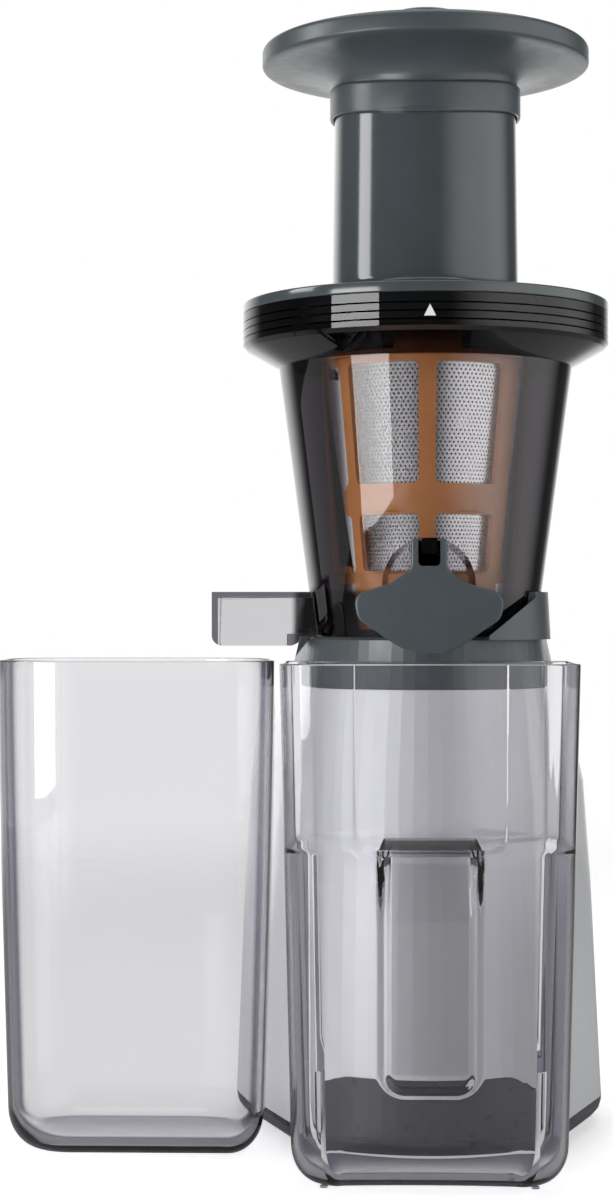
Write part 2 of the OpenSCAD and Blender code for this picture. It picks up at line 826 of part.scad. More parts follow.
module pusher_cap() {
    neck_low = tube_top - 3.7;
    under = total_h - 21.5;
    color(slate) placed() rotate_extrude() polygon(concat(
        [[tube_r + 0.5, neck_low], [tube_r + 1.8, neck_low], [tube_r + 1.8, tube_top + 8.6]],
        [for (t = [0:0.125:1]) [lerp(tube_r, disc_r - 3, 1 - cos(90 * t)), lerp(tube_top + 8.8, under, sin(90 * t))]],
        [for (a = [-80:20:80]) [disc_r - 3 + 3 * cos(a), under + 4 + 4 * sin(a)]],
        [for (t = [0:0.125:1]) [lerp(30, 13.6, sin(90 * t)), lerp(under + 9.6, total_h - 0.6, 1 - cos(90 * t))]],
        [[13, total_h], [0, total_h], [0, tube_top + 6], [tube_r - 3.1, tube_top + 6], [tube_r - 3.1, tube_top + 0.05],
         [tube_r + 0.5, tube_top + 0.05]]
    ));
}

module pusher_plunger() {
    low = 333;
    top = tube_top + 6;
    color(slate) placed() rotate_extrude() polygon([
        [0, low], [tube_r - 4, low], [tube_r - 3.2, low + 1], [tube_r - 3.2, top - 0.02], [tube_r - 6, top - 0.02],
        [tube_r - 6, low + 2.6], [0, low + 2.6]
    ]);
}

// ---- pulp container ----
pulp_corner = 15;
pulp_back = -22;
nest_y = 16;
nest_r = 60.6;
step_z = 122;
pot_foot = 0.6;
// each level: height, inset from the rim's outline, step back from the front
pulp_levels = [[pot_h, 0, 0], [step_z, 1.9, 1.4], [10, 4, 4], [4, 6, 4], [1.2, 9, 4], [pot_foot, 12, 4]];

module pulp_solid(inset, lift) {
    hull() {
        for (level = pulp_levels) {
            r = pulp_corner - level[1] - inset;
            for (side = [-1, 1]) {
                for (y = [-pulp_front + pulp_corner, pulp_back - pulp_corner])
                    translate([side * (pulp_half_w - pulp_corner), y + level[2], level[0] + lift])
                        cylinder(r = max(r, 0.4), h = eps, $fn = hull_fn);
            }
        }
    }
}

module grip(grow) {
    half = 16 + grow;
    translate([0, -pulp_front + 12.2 + grow, 36 - grow + half]) rotate([90, 0, 0]) linear_extrude(40) union() {
        circle(half);
        translate([-half, 0]) square([2 * half, step_z - 36 - half + 2 * grow]);
    }
}

module pulp_container() {
    color(tint) placed() difference() {
        pulp_solid(0, 0);
        difference() {
            pulp_solid(pot_wall, 2);
            translate([0, nest_y, -1]) cylinder(r = nest_r + pot_wall, h = pot_h + 9);
            grip(pot_wall);
        }
        translate([0, nest_y, -1]) cylinder(r = nest_r, h = pot_h + 9);
        grip(0);
    }
}

module container_feet() {
    color(tint) placed() for (side = [-1, 1], y = [-pulp_front + 20, -pulp_front + 42])
        translate([side * 38, y, 0]) cylinder(r = 1.5, h = pot_foot);
}

// ---- juice jug ----
jug_front = -28;
jug_back = 40;
jug_levels = [[pot_h, 0], [110, 1.2], [20, 3.4], [9, 5], [3.4, 8], [1, 11.5], [0, 15]];
// each corner: x, y, radius
jug_corners = [
    [-jug_left + 30, jug_front + 30, 30], [-jug_right - 18, jug_front + 18, 18],
    [-jug_right - 35, jug_back - 35, 35], [-jug_left + 32, jug_back - 32, 32]
];

module jug_solid(inset, lift) {
    hull() {
        for (level = jug_levels, corner = jug_corners)
            translate([corner[0], corner[1], level[0] + lift])
                cylinder(r = corner[2] - level[1] - inset, h = eps, $fn = 2 * hull_fn);
    }
}

module juice_jug() {
    color(tint) placed() difference() {
        jug_solid(0, 0);
        jug_solid(pot_wall, 2.4);
    }
}

body_shell();
bottom_tray();
front_block();
rubber_feet();
top_collar();
gearbox_case();
gearbox_cover();
gearbox_screws();
case_screws();
output_bearing();
spindle_bush();
idler_pin();
motor_can();
motor_end_cap();
stator_core();
field_coils();
motor_bearing_top();
motor_bearing_bottom();
control_board();
switch_module();
switch_bezel();
cord_gland();
rotor_shaft();
rotor_core();
cooling_fan();
motor_pinion();
idler_gear();
drive_spindle();
output_gear();
bowl_shell();
juice_spout();
hinge_post();
hinge_pin();
spindle_seal();
drum_frame();
drum_cup();
strainer_mesh();
rim_mark();
scroll();
drive_insert();
pulp_cover();
cover_seal();
lid();
pusher_cap();
pusher_plunger();
pulp_container();
container_feet();
juice_jug();
switch_rocker();
rocker_pin();
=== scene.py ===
import json
import math

import bmesh
import bpy
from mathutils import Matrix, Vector, geometry

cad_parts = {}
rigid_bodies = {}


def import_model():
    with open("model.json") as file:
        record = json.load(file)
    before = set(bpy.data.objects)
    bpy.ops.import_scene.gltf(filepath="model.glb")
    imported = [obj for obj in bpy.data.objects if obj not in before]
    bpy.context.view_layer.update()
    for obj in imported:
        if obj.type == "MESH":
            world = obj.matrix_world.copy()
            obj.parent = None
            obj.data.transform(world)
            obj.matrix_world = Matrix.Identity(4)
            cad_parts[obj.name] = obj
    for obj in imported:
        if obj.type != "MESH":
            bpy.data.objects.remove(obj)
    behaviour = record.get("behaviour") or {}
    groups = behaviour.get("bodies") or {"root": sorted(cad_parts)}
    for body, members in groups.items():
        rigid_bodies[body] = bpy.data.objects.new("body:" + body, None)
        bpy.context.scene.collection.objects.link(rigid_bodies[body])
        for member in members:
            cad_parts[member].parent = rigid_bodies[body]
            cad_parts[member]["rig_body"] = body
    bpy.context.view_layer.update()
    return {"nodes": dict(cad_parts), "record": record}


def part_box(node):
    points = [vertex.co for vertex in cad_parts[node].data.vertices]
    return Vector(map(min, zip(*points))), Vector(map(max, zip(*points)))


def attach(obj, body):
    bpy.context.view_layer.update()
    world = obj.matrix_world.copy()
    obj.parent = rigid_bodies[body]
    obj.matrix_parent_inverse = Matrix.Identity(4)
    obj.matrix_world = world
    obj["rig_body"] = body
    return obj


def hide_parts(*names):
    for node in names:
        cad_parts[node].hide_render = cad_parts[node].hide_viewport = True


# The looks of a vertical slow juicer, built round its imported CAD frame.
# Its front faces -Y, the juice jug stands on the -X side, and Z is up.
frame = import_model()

# ---- the frame's own measures: millimetres from the bowl axis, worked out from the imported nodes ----
MM = 0.001
NODES = frame["nodes"]
LID_LOW, LID_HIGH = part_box("lid")
AXIS = Vector(((LID_LOW.x + LID_HIGH.x) / 2, (LID_LOW.y + LID_HIGH.y) / 2, 0))


def at(x, y, z):
    """A point of the row frame, in metres, from millimetres about the bowl axis."""
    return AXIS + Vector((x, y, z)) * MM


def extent(node):
    """Lowest and highest corner of a CAD node, in millimetres about the bowl axis."""
    low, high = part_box(node)
    return (low - AXIS) / MM, (high - AXIS) / MM


def lerp(a, b, t):
    return a + (b - a) * t


def ramp(value, start, end):
    """0 before start, 1 after end, and smooth between them."""
    t = min(max((value - start) / (end - start), 0), 1)
    return t * t * (3 - 2 * t)


# ---- material helpers ----
def principled(name, sockets):
    """A new material whose Principled shader has these socket values."""
    material = bpy.data.materials.new(name)
    material.use_nodes = True
    shader = material.node_tree.nodes["Principled BSDF"]
    for socket, value in sockets.items():
        shader.inputs[socket].default_value = value
    return material


def add(material, kind, **settings):
    """A new shader node in the tree of a material, or of the world."""
    node = material.node_tree.nodes.new(kind)
    for name, value in settings.items():
        setattr(node, name, value)
    return node


def join(material, source, target):
    material.node_tree.links.new(source, target)


def shader_of(material):
    return material.node_tree.nodes["Principled BSDF"]


def place_of(material):
    """A piece's own coordinates, in metres."""
    return add(material, "ShaderNodeTexCoord").outputs["Object"]


def noise(material, size, detail=3.0, stretch=(1, 1, 1)):
    """Noise in the piece's own coordinates, with features of about size millimetres."""
    mapping = add(material, "ShaderNodeMapping")
    mapping.inputs["Scale"].default_value = stretch
    texture = add(material, "ShaderNodeTexNoise")
    texture.inputs["Scale"].default_value = 1 / (size * MM)
    texture.inputs["Detail"].default_value = detail
    join(material, place_of(material), mapping.inputs["Vector"])
    join(material, mapping.outputs["Vector"], texture.inputs["Vector"])
    return texture.outputs["Fac"]


def vary(material, socket, factor, low, high):
    """The socket follows the factor between two numbers."""
    remap = add(material, "ShaderNodeMapRange")
    remap.inputs["From Min"].default_value = 0.3
    remap.inputs["From Max"].default_value = 0.7
    remap.inputs["To Min"].default_value = low
    remap.inputs["To Max"].default_value = high
    join(material, factor, remap.inputs["Value"])
    join(material, remap.outputs["Result"], shader_of(material).inputs[socket])


def mottle(material, factor, dark, light):
    """The base colour follows the factor between two colours."""
    mix = add(material, "ShaderNodeValToRGB")
    mix.color_ramp.elements[0].position = 0.3
    mix.color_ramp.elements[0].color = (*dark, 1)
    mix.color_ramp.elements[1].position = 0.7
    mix.color_ramp.elements[1].color = (*light, 1)
    join(material, factor, mix.inputs["Fac"])
    join(material, mix.outputs["Color"], shader_of(material).inputs["Base Color"])


def bumpy(material, factor, height):
    """A bump of that height, in millimetres, that follows the factor."""
    bump = add(material, "ShaderNodeBump")
    bump.inputs["Strength"].default_value = 1.0
    bump.inputs["Distance"].default_value = height * MM
    join(material, factor, bump.inputs["Height"])
    join(material, bump.outputs["Normal"], shader_of(material).inputs["Normal"])


def moulded(name, colour, rough, grain=0.35, height=0.012, coat=0.0, haze=0.08, spread=0.05):
    """Moulded plastic: fine grain, and slightly uneven colour and gloss."""
    material = principled(name, {"Roughness": rough, "Coat Weight": coat, "Coat Roughness": haze})
    dark = [c * (1 - spread) for c in colour]
    light = [c * (1 + spread) for c in colour]
    mottle(material, noise(material, 14), dark, light)
    vary(material, "Roughness", noise(material, 5), rough * 0.88, rough * 1.12)
    bumpy(material, noise(material, grain), height)
    return material


def metal(name, colour, rough, stretch=(1, 1, 1), size=0.4, height=0.004):
    """Bare metal with marks that run along the axis with the smallest stretch."""
    material = principled(name, {"Metallic": 1.0})
    dark = [c * 0.93 for c in colour]
    mottle(material, noise(material, 6, stretch=stretch), dark, colour)
    vary(material, "Roughness", noise(material, size, stretch=stretch), rough * 0.8, rough * 1.25)
    bumpy(material, noise(material, size, stretch=stretch), height)
    return material


def clear(name, absorbed, density, edge, face, lamp, rough=0.02, wave=0.01):
    """Clear plastic that absorbs light along its way.

    It is white where its slant is below face[0], and it turns to the edge colour at face[1].
    lamp is how much of a lamp's light it lets in.
    """
    material = principled(name, {"Roughness": rough, "IOR": 1.5, "Transmission Weight": 1.0})
    slant = add(material, "ShaderNodeLayerWeight")
    slant.inputs["Blend"].default_value = 0.5
    tint = add(material, "ShaderNodeValToRGB")
    tint.color_ramp.interpolation = "EASE"
    tint.color_ramp.elements[0].position = face[0]
    tint.color_ramp.elements[0].color = (1, 1, 1, 1)
    tint.color_ramp.elements[1].position = face[1]
    tint.color_ramp.elements[1].color = (*edge, 1)
    join(material, slant.outputs["Facing"], tint.inputs["Fac"])
    join(material, tint.outputs["Color"], shader_of(material).inputs["Base Color"])
    volume = add(material, "ShaderNodeVolumeAbsorption")
    volume.inputs["Color"].default_value = (*absorbed, 1)
    volume.inputs["Density"].default_value = density
    output = material.node_tree.nodes["Material Output"]
    join(material, volume.outputs["Volume"], output.inputs["Volume"])
    path = add(material, "ShaderNodeLightPath")
    through = add(material, "ShaderNodeBsdfTransparent")
    through.inputs["Color"].default_value = (lamp, lamp, lamp, 1)
    mix = add(material, "ShaderNodeMixShader")
    join(material, path.outputs["Is Shadow Ray"], mix.inputs["Fac"])
    join(material, shader_of(material).outputs["BSDF"], mix.inputs[1])
    join(material, through.outputs["BSDF"], mix.inputs[2])
    join(material, mix.outputs["Shader"], output.inputs["Surface"])
    vary(material, "Roughness", noise(material, 9), rough * 0.6, rough * 1.4)
    bumpy(material, noise(material, 26, detail=1), wave)
    return material


def spot_of(material):
    """The X, Y and Z of a piece's own coordinates."""
    spot = add(material, "ShaderNodeSeparateXYZ")
    join(material, place_of(material), spot.inputs["Vector"])
    return spot.outputs


def stepped(material, value, start, end, low, high):
    """A smooth step of a value between two numbers."""
    step = add(material, "ShaderNodeMapRange", interpolation_type="SMOOTHSTEP")
    step.inputs["From Min"].default_value = start
    step.inputs["From Max"].default_value = end
    step.inputs["To Min"].default_value = low
    step.inputs["To Max"].default_value = high
    join(material, value, step.inputs["Value"])
    return step.outputs["Result"]


def darken(material, factor):
    """Multiplies the base colour that the material already has."""
    shade = add(material, "ShaderNodeMix", data_type="RGBA", blend_type="MULTIPLY")
    shade.inputs["Factor"].default_value = 1.0
    base = shader_of(material).inputs["Base Color"]
    join(material, base.links[0].from_socket, shade.inputs[6])
    join(material, factor, shade.inputs[7])
    join(material, shade.outputs[2], base)


def product(material, first, second):
    """The first factor times the second."""
    times = add(material, "ShaderNodeMath", operation="MULTIPLY")
    join(material, first, times.inputs[0])
    join(material, second, times.inputs[1])
    return times.outputs["Value"]


def rest_of(material, factor):
    """1 less the factor."""
    left = add(material, "ShaderNodeMath", operation="SUBTRACT")
    left.inputs[0].default_value = 1.0
    join(material, factor, left.inputs[1])
    return left.outputs["Value"]


def band(material, value, start, end, height=1.0):
    """That height while the value is between start and end, and 0 elsewhere."""
    blur = 0.5 * MM
    up = stepped(material, value, start - blur, start + blur, 0.0, height)
    down = stepped(material, value, end - blur, end + blur, 1.0, 0.0)
    return product(material, up, down)


# ---- one function per material slot ----
def silver_body():
    material = principled("silver_lacquer", {
        "Metallic": 0.3, "Coat Weight": 0.5, "Coat Roughness": 0.12,
    })
    flake = add(material, "ShaderNodeTexVoronoi")
    flake.inputs["Scale"].default_value = 1 / (0.25 * MM)
    join(material, place_of(material), flake.inputs["Vector"])
    mottle(material, flake.outputs["Distance"], (0.68, 0.69, 0.71), (0.74, 0.75, 0.77))
    vary(material, "Roughness", noise(material, 3), 0.3, 0.38)
    bumpy(material, noise(material, 0.3), 0.003)
    return material


def foot_plastic():
    return moulded("charcoal_plastic", (0.020, 0.023, 0.029), 0.3)


def foot_rubber():
    return moulded("black_rubber", (0.018, 0.018, 0.019), 0.75, grain=0.6, height=0.03)


def slate_plastic():
    """Satin, but polished on the lid's flange and tube."""
    material = moulded("slate_satin_plastic", (0.062, 0.076, 0.083), 0.36, coat=0.3, haze=0.28)
    flange_low = 0.3105
    neck_low = 0.3950
    polished = band(material, spot_of(material)["Z"], flange_low, neck_low)
    mix = add(material, "ShaderNodeMix")
    mix.inputs["B"].default_value = 0.11
    rough = shader_of(material).inputs["Roughness"]
    join(material, polished, mix.inputs["Factor"])
    join(material, rough.links[0].from_socket, mix.inputs["A"])
    join(material, mix.outputs["Result"], rough)
    return material


def slate_gloss():
    return moulded("slate_gloss_plastic", (0.060, 0.072, 0.078), 0.14, grain=2.5, height=0.004, coat=0.5)


def cast_metal():
    return metal("cast_aluminium", (0.62, 0.63, 0.64), 0.5, size=0.7, height=0.05)


def screw_steel():
    return metal("screw_steel", (0.68, 0.68, 0.69), 0.28)


def bearing_steel():
    return metal("ground_steel", (0.72, 0.72, 0.73), 0.2, stretch=(1, 1, 6))


def motor_steel():
    return metal("zinc_plated_steel", (0.62, 0.64, 0.66), 0.35, size=1.5, height=0.01)


def laminations():
    material = metal("steel_laminations", (0.32, 0.32, 0.33), 0.45)
    sheets = add(material, "ShaderNodeTexWave", bands_direction="Z")
    sheets.inputs["Scale"].default_value = 0.314 / (0.5 * MM)
    join(material, place_of(material), sheets.inputs["Vector"])
    bumpy(material, sheets.outputs["Fac"], 0.1)
    return material


def copper_wire():
    material = metal("enamelled_copper", (0.75, 0.36, 0.16), 0.3)
    turns = add(material, "ShaderNodeTexWave", wave_type="RINGS", rings_direction="Z")
    turns.inputs["Scale"].default_value = 0.314 / (0.6 * MM)
    join(material, place_of(material), turns.inputs["Vector"])
    bumpy(material, turns.outputs["Fac"], 0.2)
    return material


def circuit_board():
    return moulded("circuit_board_green", (0.02, 0.13, 0.05), 0.35, grain=1.2, height=0.02, spread=0.2)


def nylon():
    return moulded("natural_nylon", (0.74, 0.72, 0.64), 0.42)


def smoky_clear():
    """The bowl's smoked plastic. Its thick rim carries painted shade that makes it nearly black, over
    the smoke's own tint, and its foot beside the spout is nearly black.
    """
    material = clear(
        "smoky_clear_plastic", absorbed=(0.12, 0.08, 0.16), density=85, edge=(0.018, 0.012, 0.018),
        face=(0.17, 0.27), lamp=0.85,
    )
    spot = spot_of(material)
    rim = stepped(material, spot["Z"], 0.303, 0.309, 1.0, 0.16)
    foot = stepped(material, spot["Z"], 0.2130, 0.2165, 1.0, 0.0)
    past_spout = stepped(material, spot["X"], AXIS.x - 0.052, AXIS.x - 0.049, 0.0, 0.9)
    left_part = stepped(material, spot["X"], AXIS.x - 0.030, AXIS.x - 0.015, 1.0, 0.3)
    # painted shade: above 303 mm the base colour drops to nearly black on the rim band
    darken(material, rim)
    beside_spout = product(material, past_spout, left_part)
    darken(material, rest_of(material, product(material, foot, beside_spout)))
    return material


def tinted_clear():
    """The pots' plastic. The pulp pot's grip panel is darker, and the roof over it carries painted shade
    that makes it nearly black.
    """
    material = clear(
        "tinted_clear_plastic", absorbed=(0.30, 0.26, 0.38), density=44, edge=(0.05, 0.05, 0.08),
        face=(0.50, 0.72), lamp=0.95,
    )
    panel_low, roof_low, roof_high = 0.0365, 0.1170, 0.1258
    panel_half, roof_half = 0.0155, 0.0195
    spot = spot_of(material)
    slant = add(material, "ShaderNodeLayerWeight")
    slant.inputs["Blend"].default_value = 0.5
    steep = stepped(material, slant.outputs["Facing"], 0.25, 0.45, 0.0, 0.97)
    roof_rows = band(material, spot["Z"], roof_low, roof_high)
    roof_columns = band(material, spot["X"], AXIS.x - roof_half, AXIS.x + roof_half)
    roof = product(material, roof_rows, roof_columns)
    panel_rows = band(material, spot["Z"], panel_low, roof_low)
    panel_columns = band(material, spot["X"], AXIS.x - panel_half, AXIS.x + panel_half, 0.17)
    # painted shade: the steep faces of the grip's roof are darkened nearly to black
    darken(material, rest_of(material, product(material, roof, steep)))
    darken(material, rest_of(material, product(material, panel_rows, panel_columns)))
    return material


def silicone():
    return moulded("grey_silicone", (0.42, 0.42, 0.44), 0.5, grain=0.8)


def amber_plastic():
    material = moulded("amber_plastic", (0.72, 0.29, 0.09), 0.24, grain=3, height=0.006)
    shader = shader_of(material)
    shader.inputs["Transmission Weight"].default_value = 0.35
    shader.inputs["IOR"].default_value = 1.5
    return material


def mesh_steel():
    return metal("strainer_steel", (0.74, 0.73, 0.74), 0.3, stretch=(1, 1, 0.15))


def white_mark():
    return moulded("white_ink", (0.86, 0.86, 0.85), 0.4, grain=0.2)


def scroll_plastic():
    return moulded("scroll_black_plastic", (0.020, 0.020, 0.023), 0.3, grain=0.8)


def switch_plastic():
    return moulded("switch_black_plastic", (0.012, 0.012, 0.013), 0.28)


FINISHES = {
    "silver_body": silver_body, "foot_plastic": foot_plastic, "foot_rubber": foot_rubber,
    "slate_plastic": slate_plastic, "slate_gloss": slate_gloss, "cast_metal": cast_metal,
    "screw_steel": screw_steel, "bearing_steel": bearing_steel, "motor_steel": motor_steel,
    "laminations": laminations, "copper_wire": copper_wire, "circuit_board": circuit_board,
    "nylon": nylon, "smoky_clear": smoky_clear, "silicone": silicone, "amber_plastic": amber_plastic,
    "mesh_steel": mesh_steel, "white_mark": white_mark, "scroll_plastic": scroll_plastic,
    "tinted_clear": tinted_clear, "switch_plastic": switch_plastic,
}
SLOT_OF = {part["node"]: part["material_slot"] for part in frame["record"]["subparts"]}
MATERIALS = {slot: FINISHES[slot]() for slot in sorted(set(SLOT_OF.values()))}


def finish_nodes():
    """Every carried-over CAD node takes its slot's material."""
    for name, node in NODES.items():
        for slot in node.material_slots:
            slot.material = MATERIALS[SLOT_OF[name]]


# ---- mesh helpers ----
def piece(name, points, faces, node, sharp=32):
    """A mesh piece that rides with a CAD node's body, has its finish and stands for it."""
    mesh = bpy.data.meshes.new(name)
    mesh.from_pydata([tuple(p) for p in points], [], faces)
    shape = bmesh.new()
    shape.from_mesh(mesh)
    bmesh.ops.recalc_face_normals(shape, faces=shape.faces)
    shape.to_mesh(mesh)
    shape.free()
    mesh.shade_smooth()
    mesh.set_sharp_from_angle(angle=math.radians(sharp))
    mesh.materials.append(MATERIALS[SLOT_OF[node]])
    obj = bpy.data.objects.new(name, mesh)
    bpy.context.scene.collection.objects.link(obj)
    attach(obj, NODES[node]["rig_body"])
    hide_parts(node)


def fillet(corners, step=12):
    """A closed outline from (x, y, radius) corners, with each corner rounded to its radius."""
    outline = []
    count = len(corners)
    for k in range(count):
        corner = Vector(corners[k][:2])
        radius = corners[k][2]
        back = Vector(corners[k - 1][:2]) - corner
        ahead = Vector(corners[(k + 1) % count][:2]) - corner
        if radius <= 0 or back.length < 1e-6 or ahead.length < 1e-6:
            outline.append(corner)
            continue
        turn = math.pi - back.angle(ahead)
        if turn < 0.02:
            outline.append(corner)
            continue
        reach = min(radius * math.tan(turn / 2), back.length * 0.49, ahead.length * 0.49)
        true_radius = reach / math.tan(turn / 2)
        start = corner + back.normalized() * reach
        middle = (back.normalized() + ahead.normalized()).normalized()
        centre = corner + middle * (true_radius / math.cos(turn / 2))
        steps = max(2, math.ceil(math.degrees(turn) / step))
        spoke = start - centre
        way = 1 if back.x * ahead.y - back.y * ahead.x < 0 else -1
        for i in range(steps + 1):
            angle = way * turn * i / steps
            outline.append(centre + Vector((
                spoke.x * math.cos(angle) - spoke.y * math.sin(angle),
                spoke.x * math.sin(angle) + spoke.y * math.cos(angle),
            )))
    return outline


def lathe(name, profile, node, steps=160, warp=None):
    """A turned piece from a closed (radius, height) outline about the bowl axis."""
    points = []
    rows = []
    for r, z in profile:
        if r < 0.01:
            rows.append([len(points)] * steps)
            points.append(at(0, 0, z))
            continue
        rows.append(list(range(len(points), len(points) + steps)))
        for k in range(steps):
            angle = 2 * math.pi * k / steps
            radius, height = warp(r, z, angle) if warp else (r, z)
            points.append(at(radius * math.cos(angle), radius * math.sin(angle), height))
    faces = []
    for i in range(len(rows)):
        low, high = rows[i], rows[(i + 1) % len(rows)]
        for k in range(steps):
            corners = [low[k], low[(k + 1) % steps], high[(k + 1) % steps], high[k]]
            face = sorted(set(corners), key=corners.index)
            if len(face) > 2:
                faces.append(face)
    piece(name, points, faces, node)


def bridged(count, size):
    """The faces between count rings of size points each."""
    faces = []
    for i in range(count - 1):
        for k in range(size):
            after = (k + 1) % size
            faces.append([i * size + k, i * size + after, (i + 1) * size + after, (i + 1) * size + k])
    return faces


def loft(name, rings, node):
    """A closed piece through equal rings of points, with its two ends closed."""
    size = len(rings[0])
    points = [p for ring in rings for p in ring]
    faces = bridged(len(rings), size)
    for end in (0, len(rings) - 1):
        middle = sum(rings[end], Vector()) / size
        inner = [p.lerp(middle, 0.5) for p in rings[end]]
        first = len(points)
        points.extend(inner)
        for k in range(size):
            after = (k + 1) % size
            faces.append([end * size + k, end * size + after, first + after, first + k])
        faces.append([first + k for k in range(size)])
    piece(name, points, faces, node)


# ---- juice jug ----
def hull_ring(discs, shrink, z, count=180):
    """The outline round several (x, y, radius) discs, each made smaller by shrink."""
    ring = []
    for k in range(count):
        angle = 2 * math.pi * (k + 0.5) / count
        nx, ny = math.cos(angle), math.sin(angle)
        x, y, r = max(discs, key=lambda disc: disc[0] * nx + disc[1] * ny + disc[2])
        ring.append(at(x + (r - shrink) * nx, y + (r - shrink) * ny, z))
    return ring


def pot_levels(height, foot, wall, floor, bottom_r, taper, lip=0.7):
    """(height, shrink) pairs that go up the outside of a pot, over its rim and down its inside."""
    levels = []
    inner_r = bottom_r - wall
    for i in range(13):
        angle = math.pi / 2 * i / 12
        z = foot + bottom_r * (1 - math.cos(angle))
        levels.append((z, taper(z) + bottom_r * 0.8 * (1 - math.sin(angle))))
    for i in range(1, 13):
        z = lerp(foot + bottom_r, height - lip, i / 12)
        levels.append((z, taper(z)))
    for i in range(1, 7):
        angle = math.pi / 2 * i / 6
        levels.append((height - lip * (1 - math.sin(angle)), lip * (1 - math.cos(angle))))
    for i in range(7):
        angle = math.pi / 2 * i / 6
        levels.append((height - lip * (1 - math.cos(angle)), wall - lip * (1 - math.sin(angle))))
    for i in range(1, 13):
        z = lerp(height - lip, floor + inner_r, i / 12)
        levels.append((z, taper(z) + wall))
    for i in range(1, 11):
        angle = math.pi / 2 * i / 10
        z = floor + inner_r * (1 - math.sin(angle))
        levels.append((z, taper(z) + wall + inner_r * 0.8 * (1 - math.cos(angle))))
    return levels


def juice_jug():
    low, high = extent("juice_jug")
    wall = 2.4
    front_r, back_right_r, back_left_r = 30, 35, 32
    nose_r = 18
    discs = [
        (low.x + front_r, low.y + front_r, front_r), (high.x - nose_r, low.y + nose_r, nose_r),
        (high.x - back_right_r, high.y - back_right_r, back_right_r),
        (low.x + back_left_r, high.y - back_left_r, back_left_r),
    ]

    def taper(z):
        return 4.6 * (1 - z / high.z) ** 1.25

    rings = [hull_ring(discs, shrink, z) for z, shrink in pot_levels(high.z, 0, wall, 4.6, 15, taper)]
    loft("juice_jug_moulding", rings, "juice_jug")


# ---- pulp container ----
PULP_WALL = 2.4
PULP_REAR_R = 4.0
NEST_Y = 16
GRIP_ROOF = 119.5


def pulp_columns():
    """Places across the front face, close together where the grip and the panel have their edges."""
    fine = [8.5 + 0.5 * i for i in range(26)]
    panel = [26 + 0.35 * i for i in range(7)]
    half = [0, 2.8, 5.6] + fine + [23, 24.6] + panel + [30, 33, 36]
    return [-x for x in reversed(half[1:])] + half


def pulp_rows(foot, bottom_r, high):
    """Heights up the straight part of the wall, close together where the grip starts and ends."""
    low_part = [lerp(foot + bottom_r, 32, i / 5) for i in range(1, 6)]
    bend = [32.5 + 0.6 * i for i in range(27)]
    middle = [lerp(49, 115, i / 9) for i in range(1, 10)]
    roof = [115.4 + 0.45 * i for i in range(26)]
    top = [lerp(127, high, i / 9) for i in range(1, 10)]
    return low_part + bend + middle + roof + top


def rect_distance(x, z, half, low, high, corner):
    """Signed distance from a rounded rectangle that is centred on x = 0; it is negative inside."""
    qx = abs(x) - (half - corner)
    qz = abs(z - (low + high) / 2) - ((high - low) / 2 - corner)
    return math.hypot(max(qx, 0), max(qz, 0)) + min(max(qx, qz), 0) - corner


def pulp_front_point(x, spot, z, face, bow, top, grip_back, inside):
    """A point of the front face, with its raised panel and its grip. x is its column, spot its place."""
    y = face + bow
    panel = rect_distance(x, z, 27 + inside, 122 - inside, 2 * top, 7)
    y += 0.4 * (1 - ramp(panel, -0.3, 0.3))
    grip = rect_distance(x, z, 16 + inside, 36 - inside, 2 * top, 7 + inside)
    roof = GRIP_ROOF + inside
    depth = (1 - ramp(grip, -2.3, 0.9)) * (1 - ramp(z, roof - 0.5, roof + 0.7))
    bed = lerp(y + 1.3, max(grip_back + inside, y), ramp(z, 101, GRIP_ROOF - 2))
    lift = 5.0 * depth * ramp(z, 100, roof - 0.6)
    return at(spot, lerp(y, bed, depth), z + lift)


def pulp_side(face, rear, half, radius):
    """(x, y) from the front face round its corner, along the right side and round the back corner."""
    side = []
    for i in range(1, 11):
        angle = math.pi / 2 * i / 10
        side.append((half - radius + radius * math.sin(angle), face + radius * (1 - math.cos(angle))))
    for i in range(1, 6):
        side.append((half, lerp(face + radius, rear - PULP_REAR_R, i / 5)))
    for i in range(1, 6):
        angle = math.pi / 2 * i / 5
        x = half - PULP_REAR_R * (1 - math.cos(angle))
        side.append((x, rear - PULP_REAR_R * (1 - math.sin(angle))))
    return side


def pulp_nest(cup_r, rear, half, steps=40):
    """(x, y) along the hollow in the back that fits round the base, from right to left."""
    meet = math.sqrt(max(cup_r ** 2 - (NEST_Y - rear) ** 2, 0))
    meet = min(meet, half - PULP_REAR_R - 0.5)
    across = [meet * (1 - 2 * i / steps) for i in range(steps + 1)]
    return [(x, NEST_Y - math.sqrt(cup_r ** 2 - x ** 2)) for x in across]


def pulp_levels(top, taper, foot=0.6, floor=4.4, bottom_r=15, lip=0.7):
    """(height, shrink, lean, distance inside) up the outside, over the rim and down the inside."""
    wall = PULP_WALL
    inner_r = bottom_r - wall
    levels = []
    for i in range(13):
        angle = math.pi / 2 * i / 12
        z = foot + bottom_r * (1 - math.cos(angle))
        levels.append((z, taper(z) + 11 * (1 - math.sin(angle)), taper(z), 0))
    for z in pulp_rows(foot, bottom_r, top - lip):
        levels.append((z, taper(z), taper(z), 0))
    for i in range(1, 6):
        angle = math.pi / 2 * i / 5
        levels.append((top - lip * (1 - math.sin(angle)), lip * (1 - math.cos(angle)), 0, 0))
    for i in range(6):
        angle = math.pi / 2 * i / 5
        inside = wall - lip * (1 - math.sin(angle))
        levels.append((top - lip * (1 - math.cos(angle)), inside, 0, inside))
    for z in reversed(pulp_rows(floor, inner_r, top - lip)):
        levels.append((z, taper(z) + wall, taper(z), wall))
    for i in range(1, 11):
        angle = math.pi / 2 * i / 10
        z = floor + inner_r * (1 - math.sin(angle))
        levels.append((z, taper(z) + wall + 9 * (1 - math.cos(angle)), taper(z), wall))
    return levels


